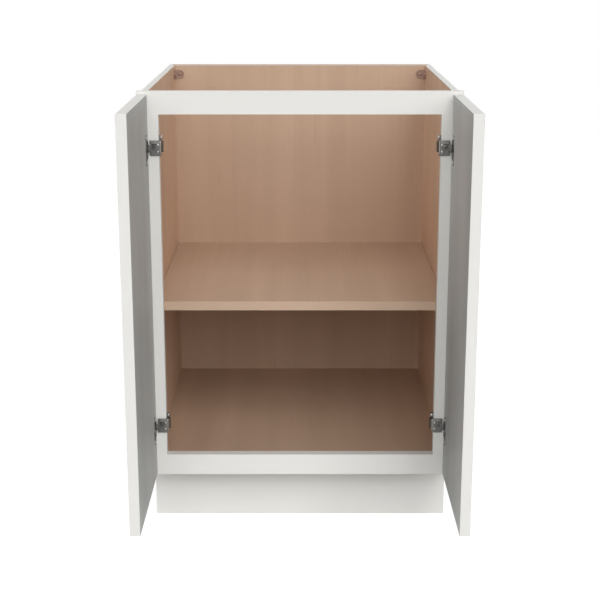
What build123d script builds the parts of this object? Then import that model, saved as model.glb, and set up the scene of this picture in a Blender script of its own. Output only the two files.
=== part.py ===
"""Sink base cabinet: a face-framed plywood box with one shelf and two hung doors.

Millimetres, +Z up.  The origin lies on the floor, in the middle of the width, on
the wall plane behind the cabinet.  The front faces -Y.  The doors are modelled
standing open, square to the face frame, which is the rest position.
"""
from build123d import *
from math import cos, hypot, radians, sin
import os

os.makedirs("parts", exist_ok=True)

# ---- the whole cabinet ----
cabinet_width = 609.6
cabinet_height = 876.3
cabinet_depth = 596.9          # wall plane to the front of the face frame

# ---- boards ----
side_thickness = 12.7
bottom_thickness = 12.7
back_thickness = 12.7
hang_rail_thickness = 25.4
shelf_thickness = 18.0
frame_thickness = 19.05
door_thickness = 19.05
toe_board_thickness = 12.7
groove_depth = 6.35            # grooves and rebates cut into the side panels

# ---- face frame and toe space ----
frame_overhang = 8.1           # how far the frame stands out past each side panel
stile_width = 40.0
rail_height = 42.5
toe_height = 114.3
toe_recess = 66.7              # front of the frame to the front of the toe board

# ---- back ----
top_hang_rail_height = 88.9
bottom_hang_rail_height = 76.2

# ---- shelf ----
shelf_top = 467.0              # height of its upper face above the floor
shelf_frame_gap = 2.9          # behind the face frame
shelf_back_gap = 0.3
shelf_side_gap = 0.8
shelf_band_thickness = 1.0     # birch strip glued to its front edge
shelf_pin_radius = 2.5
shelf_pin_flat = 0.5           # planed off the top of the pin, under the shelf
shelf_pin_in_wall = 9.0
shelf_pin_under_shelf = 8.0
shelf_pin_inset = 50.0         # from the shelf's front and back edges

# ---- doors ----
door_top_reveal = 5.5
door_bottom_reveal = 4.4
door_side_reveal = 7.95        # frame end to the closed door's edge
door_centre_gap = 3.3          # between the two closed doors
hinge_from_door_end = 100.0    # door end to the middle of a hinge
edge_rounding = 1.0

# ---- hinges ----
cup_radius = 17.5              # bore in the door
cup_from_edge = 3.0            # wood left between the bore and the door's edge
cup_wall = 0.9
cup_depth = 11.5
cup_bore_spare = 0.5           # room under the cup
flange_thickness = 1.0
flange_lip = 1.4               # how far the round flange covers the wood
wing_offset = 9.5              # screw line behind the cup's middle
wing_spacing = 45.0            # between the two flange screws
wing_radius = 6.5
pin_radius = 1.1
pin_running_gap = 0.05
pivot_in_bore = 3.6            # pin axis inside the bore's edge
pivot_below_face = 5.7         # pin axis below the door's inner face
eye_wall = 0.8
eye_height = 11.0
eye_room = 0.8                 # between the eye and the window in the cup's wall
swing_clearance = 0.48         # door corner past the frame while it swings
arm_thickness = 1.2
arm_plate_width = 16.5
arm_plate_height = 29.3
arm_plate_rounding = 1.5
neck_height = 13.5
neck_bend = 1.6
neck_dip = 1.4                 # how far the neck reaches past the pin before it turns in
wrap_front_thickness = 1.0
wrap_side_thickness = 1.5
wrap_depth = 18.0              # along the stile's inner edge
wrap_margin = 1.0              # wrap plate edge inside the arm plate's edge
wrap_foot_reach = 16.5         # rounded foot, below the hinge's middle
ear_height = 18.7              # ear screw above the hinge's middle
ear_from_front = 10.5          # ear screw behind the frame's front
ear_radius = 4.5
ear_stand = 2.5                # top of the ear's boss over the wrap plate, at its middle
ear_lean = 25.0                # the boss leans towards the front by this many degrees
plate_clearance = 0.3          # closed door's flange over the frame plates
slide_thickness = 2.0          # the slide between the wrap plate and the cam housing
slide_margin = 0.8             # slide edge inside the wrap plate's edge
adjuster_thickness = 4.0
adjuster_length = 21.5
adjuster_depth = 13.0
adjuster_rounding = 4.0
adjuster_rise = 2.25           # middle of the cam housing above the hinge's middle
adjuster_screw_drop = 7.5      # its screw below its own middle
spring_thickness = 0.6
spring_height = 8.0
spring_from_pivot = 12.6
spring_length = 14.0
spring_rise = 5.5
spring_lean = 0.9              # how far the raised end leans forward
spring_bend = 1.5

# ---- screws, rivets and dowels ----
pilot_clearance = 0.1
ear_screw_head_radius = 3.8
ear_screw_head_height = 2.0
ear_screw_radius = 1.75
ear_screw_length = 12.0
flange_screw_head_radius = 3.3
flange_screw_head_height = 1.0
flange_screw_radius = 1.6
flange_screw_length = 12.0
adjusting_screw_head_radius = 3.2
adjusting_screw_head_height = 0.6
adjusting_screw_radius = 1.6
adjusting_screw_length = 12.0
adjusting_screw_slot = 0.8
front_adjuster_inset = 3.2     # stile's inner edge to the front adjusting screw
rivet_head_radius = 1.9
rivet_head_height = 0.5
rivet_radius = 1.2
rivet_inset = 1.6
rivet_spacing = 12.8
dowel_radius = 4.0
dowel_length = 40.0
dowel_spacing = 22.0
dowel_end_room = 1.0
bracket_leg = 21.3
bracket_thickness = 2.4
bracket_height = 19.0
bracket_below_top = 9.9
bracket_screw_head_radius = 3.0
bracket_screw_head_height = 1.4
bracket_screw_radius = 1.5
bracket_screw_length = 9.0

# ---- places that follow from the sizes ----
frame_front = -cabinet_depth
frame_back = frame_front + frame_thickness
frame_end = cabinet_width / 2
opening_half = frame_end - stile_width
side_outer = frame_end - frame_overhang
side_inner = side_outer - side_thickness
back_face = -(back_thickness + hang_rail_thickness)
bottom_top = toe_height + rail_height
bottom_underside = bottom_top - bottom_thickness
toe_front = frame_front + toe_recess
toe_back = toe_front + toe_board_thickness
shelf_underside = shelf_top - shelf_thickness

door_width = frame_end - door_side_reveal - door_centre_gap / 2
door_bottom = toe_height + door_bottom_reveal
door_top = cabinet_height - door_top_reveal
hinge_heights = {"lower": door_bottom + hinge_from_door_end, "upper": door_top - hinge_from_door_end}

# The pin stands far enough in front of the frame for the door's corner to swing past
# it, and for the closed door's flange to lie over the hinge plates.
pivot_from_edge = cup_from_edge + pivot_in_bore
corner_gap = hypot(pivot_from_edge, pivot_below_face) - pivot_below_face + swing_clearance
plates_gap = wrap_front_thickness + arm_thickness + flange_thickness + plate_clearance
closed_gap = max(corner_gap, plates_gap)
pivot_x = -(frame_end - door_side_reveal - pivot_from_edge)
pivot_y = frame_front - closed_gap - pivot_below_face
door_inner_face = pivot_x + pivot_below_face
door_hinge_edge = pivot_y + pivot_from_edge
cup_middle = door_hinge_edge - cup_from_edge - cup_radius
stile_edge = -opening_half
wrap_face = stile_edge + wrap_side_thickness
slide_face = wrap_face + slide_thickness
adjuster_face = slide_face + adjuster_thickness
arm_front = frame_front - wrap_front_thickness - arm_thickness

match_tolerance = 0.01         # for picking edges by their place

nodes = {}


# ---- shared ways of making shapes ----
def board(x_limits, y_limits, z_limits):
    """A straight board between three pairs of limits."""
    limits = (x_limits, y_limits, z_limits)
    size = [high - low for low, high in limits]
    middle = [(high + low) / 2 for low, high in limits]
    return Pos(*middle) * Box(*size)


def rod(start, direction, radius, length):
    """A round bar that starts at a point and runs along a direction."""
    at_start = Plane(origin=start, z_dir=direction)
    return at_start * Cylinder(radius, length, align=(Align.CENTER, Align.CENTER, Align.MIN))


def screw(seat, direction, head_radius, head_height, radius, length):
    """A flat-headed screw; its head stands on the seat and its shank runs along the direction."""
    back = tuple(-component for component in direction)
    return rod(seat, back, head_radius, head_height) + rod(seat, direction, radius, length)


def pilot(seat, direction, radius, length):
    """The hole that a screw, pin or dowel fills, a little wider and deeper than its shank."""
    return rod(seat, direction, radius + pilot_clearance, length + pilot_clearance)


def to_right(shape):
    """The same piece for the right-hand side."""
    return mirror(shape, about=Plane.YZ)


def both_sides(shape):
    return [shape, to_right(shape)]


def cut_all(shape, tools):
    for tool in tools:
        shape = shape - tool
    return shape


def round_edges(shape, radius, wanted):
    """Round the straight edges whose middle passes the test."""
    return fillet([edge for edge in shape.edges() if wanted(edge.center())], radius)


def near(value, target):
    return abs(value - target) < match_tolerance


# ---- corner brackets, one in each top corner of the box ----
def bracket_leg_shape():
    """One flat leg with a round end, lying in the XY plane with its root on the Y axis."""
    half = bracket_height / 2
    straight = bracket_leg - half
    outline = Pos(straight / 2, 0) * Rectangle(straight, bracket_height) + Pos(straight, 0) * Circle(half)
    outline = outline & (Pos(bracket_leg / 2, 0) * Rectangle(bracket_leg, bracket_height))
    return extrude(outline, bracket_thickness)


bracket_middle = cabinet_height - bracket_below_top - bracket_height / 2
bracket_screw_reach = bracket_leg - bracket_height / 2
bracket_places = {"back": (back_face, -1), "front": (frame_back, 1)}
bracket_screws = []
bracket_pilots = []
for place, (cross_face, away) in bracket_places.items():
    corner = (-side_inner, cross_face, bracket_middle)
    on_cross = Plane(origin=corner, x_dir=(1, 0, 0), z_dir=(0, away, 0)) * bracket_leg_shape()
    on_side = Plane(origin=corner, x_dir=(0, away, 0), z_dir=(1, 0, 0)) * bracket_leg_shape()
    holes = []
    cross_seat = (corner[0] + bracket_screw_reach, cross_face + away * bracket_thickness, bracket_middle)
    side_seat = (corner[0] + bracket_thickness, cross_face + away * bracket_screw_reach, bracket_middle)
    for seat, inward in ((cross_seat, (0, -away, 0)), (side_seat, (-1, 0, 0))):
        one_screw = screw(seat, inward, bracket_screw_head_radius, bracket_screw_head_height,
                          bracket_screw_radius, bracket_screw_length)
        hole = pilot(seat, inward, bracket_screw_radius, bracket_screw_length)
        holes.append(hole)
        bracket_screws += both_sides(one_screw)
        bracket_pilots += both_sides(hole)
    bracket = cut_all(on_cross + on_side, holes)
    nodes[f"corner_bracket_{place}_left"] = bracket
    nodes[f"corner_bracket_{place}_right"] = to_right(bracket)
nodes["corner_bracket_screws"] = Compound(children=bracket_screws)


# ---- hinges: everything for one left-hand hinge, with its middle at height zero ----
into_stile = (0, 1, 0)
into_stile_edge = (-1, 0, 0)
into_door = (-1, 0, 0)

# the pin's ends sit in the cup's wall and stay inside the bore
pivot_from_middle = cup_radius - pivot_in_bore
pin_half = ((cup_radius - pilot_clearance) ** 2 - (pivot_from_middle + pin_radius) ** 2) ** 0.5
eye_radius = pin_radius + pin_running_gap + eye_wall
wing_line = cup_middle - wing_offset
flange_face = door_inner_face + flange_thickness
flange_seats = [(flange_face, wing_line, end * wing_spacing / 2) for end in (-1, 1)]

arm_plate_end = stile_edge - arm_plate_width
neck_middle = arm_plate_end + arm_thickness / 2
arm_middle = arm_front + arm_thickness / 2
wrap_front = frame_front - wrap_front_thickness
wrap_middle = frame_front + wrap_depth / 2
rivet_x = stile_edge - rivet_inset
rivet_seats = [(rivet_x, arm_front, end * rivet_spacing / 2) for end in (-1, 1)]
front_adjuster_seat = (stile_edge - front_adjuster_inset, arm_front, 0)
side_adjuster_seat = (adjuster_face, wrap_middle, adjuster_rise - adjuster_screw_drop)
plate_half = arm_plate_height / 2 - wrap_margin
foot_radius = wrap_depth / 2
foot_middle = foot_radius - wrap_foot_reach
ear_middle = frame_front + ear_from_front
ear_seat = (wrap_face + ear_stand, ear_middle, ear_height)
into_ear = (-cos(radians(ear_lean)), sin(radians(ear_lean)), 0)


def hinge_cup():
    """Pressed cup with its winged flange, standing in the open door's inner face."""
    flange_middle = (flange_face, cup_middle, 0)
    flange = rod(flange_middle, into_door, cup_radius + flange_lip, flange_thickness)
    flange += board((door_inner_face, flange_face),
                    (wing_line - wing_radius, wing_line + wing_radius),
                    (-wing_spacing / 2, wing_spacing / 2))
    for seat in flange_seats:
        flange += rod(seat, into_door, wing_radius, flange_thickness)
    outer_radius = cup_radius - pilot_clearance
    inside_depth = flange_thickness + cup_depth - cup_wall
    cup = flange + rod((door_inner_face, cup_middle, 0), into_door, outer_radius, cup_depth)
    cup -= rod(flange_middle, into_door, outer_radius - cup_wall, inside_depth)
    # window in the wall for the arm's eye, below the flange
    window_reach = eye_radius + eye_room
    cup -= board((pivot_x - window_reach, pivot_x + window_reach),
                 (pivot_y, door_hinge_edge),
                 (-eye_height / 2 - eye_room, eye_height / 2 + eye_room))
    cup -= rod((pivot_x, pivot_y, -pin_half), (0, 0, 1), pin_radius + pin_running_gap, 2 * pin_half)
    for seat in flange_seats:
        cup -= pilot(seat, into_door, flange_screw_radius, flange_thickness)
    return cup


def hinge_pin():
    return rod((pivot_x, pivot_y, -pin_half), (0, 0, 1), pin_radius, 2 * pin_half)


def hinge_spring():
    """Leaf spring: flat on the cup's floor, turned up towards the pin."""
    floor_line = door_inner_face - cup_depth + cup_wall + spring_thickness / 2
    front_end = pivot_y - spring_from_pivot
    path = FilletPolyline(
        (floor_line, front_end - spring_length),
        (floor_line, front_end),
        (floor_line + spring_rise, front_end + spring_lean),
        radius=spring_bend,
    )
    return extrude(trace(path, spring_thickness), spring_height / 2, both=True)


def hinge_arm():
    """Steel arm: a plate on the frame, a goose neck into the cup and an eye on the pin."""
    path = FilletPolyline(
        (wrap_face, arm_middle),
        (neck_middle, arm_middle),
        (neck_middle, pivot_y - neck_dip),
        (pivot_x, pivot_y),
        radius=neck_bend,
    )
    arm = extrude(trace(path, arm_thickness), neck_height / 2, both=True)
    for end in (-1, 1):
        # the neck narrows to the eye's height where it goes into the cup
        arm -= board((pivot_x - eye_radius, pivot_x + 2 * eye_radius),
                     (pivot_y - neck_dip - arm_thickness, pivot_y + eye_radius),
                     sorted((end * eye_height / 2, end * neck_height)))
    plate_start = arm_plate_end + neck_bend
    plate = board((plate_start, wrap_face),
                  (arm_front, arm_front + arm_thickness),
                  (-arm_plate_height / 2, arm_plate_height / 2))
    plate = round_edges(plate, arm_plate_rounding,
                        lambda c: near(c.X, plate_start) and near(abs(c.Z), arm_plate_height / 2))
    arm += plate
    arm += rod((pivot_x, pivot_y, -eye_height / 2), (0, 0, 1), eye_radius, eye_height)
    arm -= rod((pivot_x, pivot_y, -eye_height), (0, 0, 1), pin_radius + pin_running_gap, 2 * eye_height)
    for seat in rivet_seats:
        arm -= pilot(seat, into_stile, rivet_radius, arm_thickness)
    return arm - pilot(front_adjuster_seat, into_stile, adjusting_screw_radius, arm_thickness)


def hinge_wrap_plate():
    """Folded plate around the stile's corner, with a round foot and a leaning boss for its screw."""
    leaf = board((arm_plate_end + wrap_margin, wrap_face),
                 (wrap_front, frame_front),
                 (-plate_half, plate_half))
    side = board((stile_edge, wrap_face), (wrap_front, frame_front + wrap_depth), (foot_middle, plate_half))
    side += rod((wrap_face, wrap_middle, foot_middle), into_stile_edge, foot_radius, wrap_side_thickness)
    side += board((stile_edge, wrap_face), (ear_middle - ear_radius, ear_middle + ear_radius), (0, ear_height))
    ear_reach = 2 * (ear_stand + ear_radius)
    boss = rod(ear_seat, into_ear, ear_radius, ear_reach)
    behind_plate = board((stile_edge - 2 * ear_reach, stile_edge),
                         (ear_middle - 2 * ear_reach, ear_middle + 2 * ear_reach),
                         (ear_height - ear_reach, ear_height + ear_reach))
    side += rod((wrap_face, ear_middle, ear_height), into_stile_edge, ear_radius, wrap_side_thickness)
    plate = leaf + side + (boss - behind_plate)
    for seat in rivet_seats:
        plate -= pilot(seat, into_stile, rivet_radius, arm_thickness + wrap_front_thickness)
    plate -= pilot(front_adjuster_seat, into_stile, adjusting_screw_radius, adjusting_screw_length)
    plate -= pilot(side_adjuster_seat, into_stile_edge, adjusting_screw_radius, adjusting_screw_length)
    return plate - pilot(ear_seat, into_ear, ear_screw_radius, ear_screw_length)


def hinge_adjuster():
    """Slide with a round foot on the wrap plate, beside the opening, and the cam housing on it."""
    slide_radius = foot_radius - slide_margin
    slide = board((wrap_face, slide_face),
                  (wrap_middle - slide_radius, wrap_middle + slide_radius),
                  (foot_middle, plate_half - slide_margin))
    slide += rod((slide_face, wrap_middle, foot_middle), into_stile_edge, slide_radius, slide_thickness)
    block = board((slide_face, adjuster_face),
                  (wrap_middle - adjuster_depth / 2, wrap_middle + adjuster_depth / 2),
                  (adjuster_rise - adjuster_length / 2, adjuster_rise + adjuster_length / 2))
    block = fillet(block.edges().filter_by(Axis.X), adjuster_rounding)
    return slide + block - pilot(side_adjuster_seat, into_stile_edge, adjusting_screw_radius, adjusting_screw_length)


def hinge_rivets():
    rivet_length = arm_thickness + wrap_front_thickness
    return [screw(seat, into_stile, rivet_head_radius, rivet_head_height, rivet_radius, rivet_length)
            for seat in rivet_seats]


def adjusting_screws():
    """The two slotted screws of a hinge, on its plate and on its cam housing."""
    made = []
    for seat, inward in ((front_adjuster_seat, into_stile), (side_adjuster_seat, into_stile_edge)):
        one = screw(seat, inward, adjusting_screw_head_radius, adjusting_screw_head_height,
                    adjusting_screw_radius, adjusting_screw_length)
        across = 2 * adjusting_screw_head_radius
        slot_depth = adjusting_screw_head_height
        top = tuple(s - i * adjusting_screw_head_height for s, i in zip(seat, inward))
        slot = Plane(origin=top, z_dir=inward) * Box(across, adjusting_screw_slot, slot_depth)
        made.append(one - slot)
    return made


def ear_screw():
    return screw(ear_seat, into_ear, ear_screw_head_radius, ear_screw_head_height,
                 ear_screw_radius, ear_screw_length)


def flange_screws():
    return [screw(seat, into_door, flange_screw_head_radius, flange_screw_head_height,
                  flange_screw_radius, flange_screw_length) for seat in flange_seats]


def stile_holes():
    """What one hinge needs drilled in its stile."""
    return [
        pilot(front_adjuster_seat, into_stile, adjusting_screw_radius, adjusting_screw_length),
        pilot(side_adjuster_seat, into_stile_edge, adjusting_screw_radius, adjusting_screw_length),
        pilot(ear_seat, into_ear, ear_screw_radius, ear_screw_length),
    ]


def door_holes():
    """What one hinge needs bored in its door: the cup's bore and the flange screws' pilots."""
    holes = [pilot(seat, into_door, flange_screw_radius, flange_screw_length) for seat in flange_seats]
    holes.append(rod((door_inner_face, cup_middle, 0), into_door, cup_radius, cup_depth + cup_bore_spare))
    return holes


hinge_pieces = {
    "cup": hinge_cup(),
    "pin": hinge_pin(),
    "spring": hinge_spring(),
    "arm": hinge_arm(),
    "wrap_plate": hinge_wrap_plate(),
    "adjuster": hinge_adjuster(),
}
all_rivets = []
all_adjusting_screws = []
all_ear_screws = []
all_flange_screws = []
left_stile_holes = []
left_door_holes = []
for level, height in hinge_heights.items():
    at_height = Pos(0, 0, height)
    for piece, shape in hinge_pieces.items():
        nodes[f"{level}_left_hinge_{piece}"] = at_height * shape
        nodes[f"{level}_right_hinge_{piece}"] = to_right(at_height * shape)
    all_rivets += [at_height * rivet for rivet in hinge_rivets()]
    all_adjusting_screws += [at_height * one for one in adjusting_screws()]
    all_ear_screws.append(at_height * ear_screw())
    all_flange_screws += [at_height * one for one in flange_screws()]
    left_stile_holes += [at_height * hole for hole in stile_holes()]
    left_door_holes += [at_height * hole for hole in door_holes()]


def pieces_on_both_sides(pieces):
    return Compound(children=[made for piece in pieces for made in both_sides(piece)])


nodes["hinge_rivets"] = pieces_on_both_sides(all_rivets)
nodes["hinge_adjusting_screws"] = pieces_on_both_sides(all_adjusting_screws)
nodes["hinge_ear_screws"] = pieces_on_both_sides(all_ear_screws)
nodes["left_hinge_flange_screws"] = Compound(children=all_flange_screws)
nodes["right_hinge_flange_screws"] = Compound(children=[to_right(one) for one in all_flange_screws])

# ---- doors: flat slabs, bored for the hinge cups ----
left_door = board((door_inner_face - door_thickness, door_inner_face),
                  (door_hinge_edge - door_width, door_hinge_edge),
                  (door_bottom, door_top))
left_door = cut_all(fillet(left_door.edges(), edge_rounding), left_door_holes)
nodes["left_door"] = left_door
nodes["right_door"] = to_right(left_door)

# ---- face frame: two stiles with the rails doweled between them ----
top_rail_bottom = cabinet_height - rail_height
rail_middles = (toe_height + rail_height / 2, top_rail_bottom + rail_height / 2)
frame_middle = frame_front + frame_thickness / 2
left_dowels = []
left_dowel_holes = []
for rail_middle in rail_middles:
    for end in (-1, 1):
        start = (stile_edge - dowel_length / 2, frame_middle, rail_middle + end * dowel_spacing / 2)
        hole_start = (start[0] - dowel_end_room, start[1], start[2])
        left_dowels.append(rod(start, (1, 0, 0), dowel_radius, dowel_length))
        left_dowel_holes.append(rod(hole_start, (1, 0, 0), dowel_radius + pilot_clearance,
                                    dowel_length + 2 * dowel_end_room))
nodes["frame_dowels"] = pieces_on_both_sides(left_dowels)


def eased(frame_piece):
    """Ease the frame's outer front edges; the edges around the opening stay crisp."""
    def on_outside(c):
        at_front = near(c.Y, frame_front)
        return at_front and (near(abs(c.X), frame_end) or near(c.Z, cabinet_height) or near(c.Z, toe_height))
    return round_edges(frame_piece, edge_rounding, on_outside)


left_stile = eased(board((-frame_end, stile_edge), (frame_front, frame_back), (toe_height, cabinet_height)))
left_stile = cut_all(left_stile, left_dowel_holes + left_stile_holes + bracket_pilots)
nodes["stile_left"] = left_stile
nodes["stile_right"] = to_right(left_stile)

rail_dowel_holes = [hole for one in left_dowel_holes for hole in both_sides(one)]
rail_limits = {"bottom_rail": (toe_height, bottom_top), "top_rail": (top_rail_bottom, cabinet_height)}
for name, limits in rail_limits.items():
    rail = eased(board((-opening_half, opening_half), (frame_front, frame_back), limits))
    nodes[name] = cut_all(rail, rail_dowel_holes + bracket_pilots)

# ---- side panels: grooved for the bottom, rebated for the back, notched for the toe space ----
shelf_half = side_inner - shelf_side_gap
shelf_front = frame_back + shelf_frame_gap
shelf_back = back_face - shelf_back_gap
pin_middle = shelf_underside - shelf_pin_radius + shelf_pin_flat
left_shelf_pins = []
left_pin_holes = []
for pin_y in (shelf_front + shelf_pin_inset, shelf_back - shelf_pin_inset):
    start = (-side_inner - shelf_pin_in_wall, pin_y, pin_middle)
    length = shelf_pin_in_wall + shelf_side_gap + shelf_pin_under_shelf
    planed_off = board((-side_inner, -side_inner + length),
                       (pin_y - shelf_pin_radius, pin_y + shelf_pin_radius),
                       (shelf_underside, shelf_underside + shelf_pin_radius))
    left_shelf_pins.append(rod(start, (1, 0, 0), shelf_pin_radius, length) - planed_off)
    left_pin_holes.append(pilot((-side_inner, pin_y, pin_middle), (-1, 0, 0),
                                shelf_pin_radius, shelf_pin_in_wall))

left_side = board((-side_outer, -side_inner), (frame_back, 0), (0, cabinet_height))
left_side -= board((-side_outer, -side_inner), (frame_back, toe_back), (0, toe_height))
left_side -= board((-side_inner - groove_depth, -side_inner), (frame_back, back_face),
                   (bottom_underside, bottom_top))
left_side -= board((-side_inner - groove_depth, -side_inner), (back_face, 0), (0, cabinet_height))
left_side = cut_all(left_side, left_pin_holes + bracket_pilots)
nodes["side_panel_left"] = left_side
nodes["side_panel_right"] = to_right(left_side)

# ---- bottom, back, hanging rails, toe board and shelf ----
groove_end = side_inner + groove_depth
nodes["bottom_panel"] = board((-groove_end, groove_end),
                              (frame_back, back_face),
                              (bottom_underside, bottom_top))
back_panel = board((-groove_end, groove_end),
                   (back_face, back_face + back_thickness),
                   (toe_height, cabinet_height))
nodes["back_panel"] = cut_all(back_panel, bracket_pilots)
nodes["hang_rail_top"] = board((-groove_end, groove_end), (-hang_rail_thickness, 0),
                               (cabinet_height - top_hang_rail_height, cabinet_height))
nodes["hang_rail_bottom"] = board((-groove_end, groove_end), (-hang_rail_thickness, 0),
                                  (toe_height, toe_height + bottom_hang_rail_height))
nodes["toe_board"] = board((-side_outer, side_outer), (toe_front, toe_back), (0, toe_height))
band_back = shelf_front + shelf_band_thickness
shelf_band = board((-shelf_half, shelf_half), (shelf_front, band_back), (shelf_underside, shelf_top))
band_rounding = shelf_band_thickness / 2
nodes["shelf_edge_band"] = round_edges(shelf_band, band_rounding,
                                       lambda c: near(c.Y, shelf_front) and near(c.X, 0))
nodes["shelf"] = board((-shelf_half, shelf_half), (band_back, shelf_back), (shelf_underside, shelf_top))
nodes["shelf_pins"] = pieces_on_both_sides(left_shelf_pins)

for name, shape in nodes.items():
    export_step(shape, f"parts/{name}.step")
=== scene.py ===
import bpy
import bmesh
from math import acos, cos, degrees, radians, sin
from mathutils import Matrix, Vector


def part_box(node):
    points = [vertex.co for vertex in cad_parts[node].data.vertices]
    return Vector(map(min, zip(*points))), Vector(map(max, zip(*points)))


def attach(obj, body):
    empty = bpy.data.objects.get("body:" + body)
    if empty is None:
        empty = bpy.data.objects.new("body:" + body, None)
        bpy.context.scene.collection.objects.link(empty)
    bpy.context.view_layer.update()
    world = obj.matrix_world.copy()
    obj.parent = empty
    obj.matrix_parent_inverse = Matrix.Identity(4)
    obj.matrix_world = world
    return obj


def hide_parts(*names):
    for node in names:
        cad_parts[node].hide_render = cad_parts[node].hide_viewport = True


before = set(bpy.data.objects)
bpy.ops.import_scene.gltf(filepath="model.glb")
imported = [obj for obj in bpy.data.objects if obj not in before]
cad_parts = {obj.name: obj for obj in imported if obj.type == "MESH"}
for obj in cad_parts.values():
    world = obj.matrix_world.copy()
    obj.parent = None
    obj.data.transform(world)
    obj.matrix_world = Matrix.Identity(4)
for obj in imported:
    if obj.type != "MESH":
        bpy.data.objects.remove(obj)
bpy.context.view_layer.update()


# ---- camera ----
# Stands about two and a half metres in front of the cabinet, a little above its
# top, and looks down into it along the middle.
frame_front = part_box("stile_left")[0].y
camera_distance = 2.4681
camera_height = 1.1337
camera_pitch = 14.924

camera = bpy.data.objects.new("camera", bpy.data.cameras.new("camera"))
bpy.context.scene.collection.objects.link(camera)
camera.location = (0, frame_front - camera_distance, camera_height)
camera.rotation_euler = (radians(90 - camera_pitch), 0, 0)
camera.data.sensor_width = 36
camera.data.lens = 79.27
bpy.context.scene.camera = camera
bpy.context.scene.view_settings.view_transform = "Standard"


# ---- floor and studio ----
# A wide pale floor that shows white to the camera and keeps a faint shadow. Large soft
# lamps stand far off, the most in front and towards the right, and others at the left,
# above and behind.
def add_node(tree, kind, **settings):
    """A shader node with its settings."""
    made = tree.nodes.new(kind)
    for name, value in settings.items():
        setattr(made, name, value)
    return made


def feed(tree, socket, value):
    """Link another node's output to a socket, or set the socket to a plain value."""
    if isinstance(value, bpy.types.NodeSocket):
        tree.links.new(value, socket)
    else:
        socket.default_value = value


def compute(tree, operation, first, second=0.0):
    made = add_node(tree, "ShaderNodeMath", operation=operation)
    feed(tree, made.inputs[0], first)
    feed(tree, made.inputs[1], second)
    return made.outputs[0]


def mix_value(tree, factor, first, second):
    made = add_node(tree, "ShaderNodeMix", data_type="FLOAT")
    feed(tree, made.inputs[0], factor)
    feed(tree, made.inputs[2], first)
    feed(tree, made.inputs[3], second)
    return made.outputs[0]


def backdrop_rays(tree):
    """1 for rays that show the backdrop: from the camera, in gloss and through glass."""
    path = add_node(tree, "ShaderNodeLightPath")
    seen = compute(tree, "MAXIMUM", path.outputs["Is Camera Ray"], path.outputs["Is Glossy Ray"])
    return compute(tree, "MAXIMUM", seen, path.outputs["Is Transmission Ray"])


floor_bounce = 0.58
floor_seen_tone = 0.40
floor_glow = 0.82
floor_half_width = 5.0

floor_material = bpy.data.materials.new("studio_floor")
floor_material.use_nodes = True
tree = floor_material.node_tree
tree.nodes.clear()
path = add_node(tree, "ShaderNodeLightPath")
matt = add_node(tree, "ShaderNodeBsdfDiffuse")
floor_tone = mix_value(tree, path.outputs["Is Camera Ray"], floor_bounce, floor_seen_tone)
feed(tree, matt.inputs["Color"], floor_tone)
glow = add_node(tree, "ShaderNodeEmission")
feed(tree, glow.inputs["Strength"], compute(tree, "MULTIPLY", backdrop_rays(tree), floor_glow))
both = add_node(tree, "ShaderNodeAddShader")
feed(tree, both.inputs[0], matt.outputs[0])
feed(tree, both.inputs[1], glow.outputs[0])
floor_output = add_node(tree, "ShaderNodeOutputMaterial")
feed(tree, floor_output.inputs["Surface"], both.outputs[0])

floor_mesh = bpy.data.meshes.new("studio_floor")
bm = bmesh.new()
bmesh.ops.create_grid(bm, x_segments=1, y_segments=1, size=floor_half_width)
bm.to_mesh(floor_mesh)
bm.free()
floor = bpy.data.objects.new("studio_floor", floor_mesh)
bpy.context.scene.collection.objects.link(floor)
floor.data.materials.append(floor_material)

world = bpy.data.worlds.new("studio")
bpy.context.scene.world = world
world.use_nodes = True
tree = world.node_tree
tree.nodes.clear()
room = add_node(tree, "ShaderNodeBackground")
room.inputs["Color"].default_value = (1, 1, 1, 1)
feed(tree, room.inputs["Strength"], backdrop_rays(tree))
world_output = add_node(tree, "ShaderNodeOutputWorld")
feed(tree, world_output.inputs["Surface"], room.outputs[0])

lit_point = Vector((0, -0.6, 0.5))
lamp_distance = 18.0
lamp_width = 8.0


def soft_lamp(name, azimuth, elevation, power):
    """A large square lamp, far off; azimuth 0 is straight in front and 90 is at the right."""
    turn, rise = radians(azimuth), radians(elevation)
    away = Vector((cos(rise) * sin(turn), -cos(rise) * cos(turn), sin(rise)))
    data = bpy.data.lights.new(name, "AREA")
    data.shape = "SQUARE"
    data.size = lamp_width
    data.energy = power
    lamp = bpy.data.objects.new(name, data)
    bpy.context.scene.collection.objects.link(lamp)
    lamp.location = lit_point + lamp_distance * away
    lamp.rotation_euler = away.to_track_quat("Z", "Y").to_euler()


soft_lamp("front", 0, 28, 800)
soft_lamp("front_high", 0, 55, 210)
soft_lamp("front_right_high", 25, 40, 780)
soft_lamp("front_right_low", 25, 15, 480)
soft_lamp("far_right_low", 50, 20, 220)
soft_lamp("front_left_high", -25, 40, 245)
soft_lamp("front_left_low", -25, 15, 300)
soft_lamp("overhead", 0, 115, 485)
soft_lamp("left", -80, 30, 575)
soft_lamp("right", 80, 30, 190)
soft_lamp("behind_left", -135, 8, 400)
soft_lamp("behind_right", 135, 8, 400)


# ---- side panels ----
# Birch plywood, grooved for the bottom and rebated for the back. Sprayed white outside
# and on the top and front edges; clear-coated veneer inside, painted lighter as painted
# light; bare plies at the back.
def new_surface(name):
    """A new material, with its node tree and its shader."""
    material = bpy.data.materials.new(name)
    material.use_nodes = True
    return material, material.node_tree, material.node_tree.nodes["Principled BSDF"]


def dress(node_name, material):
    """Give a CAD piece its finish."""
    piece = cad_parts[node_name]
    piece.data.materials.clear()
    piece.data.materials.append(material)


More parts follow.
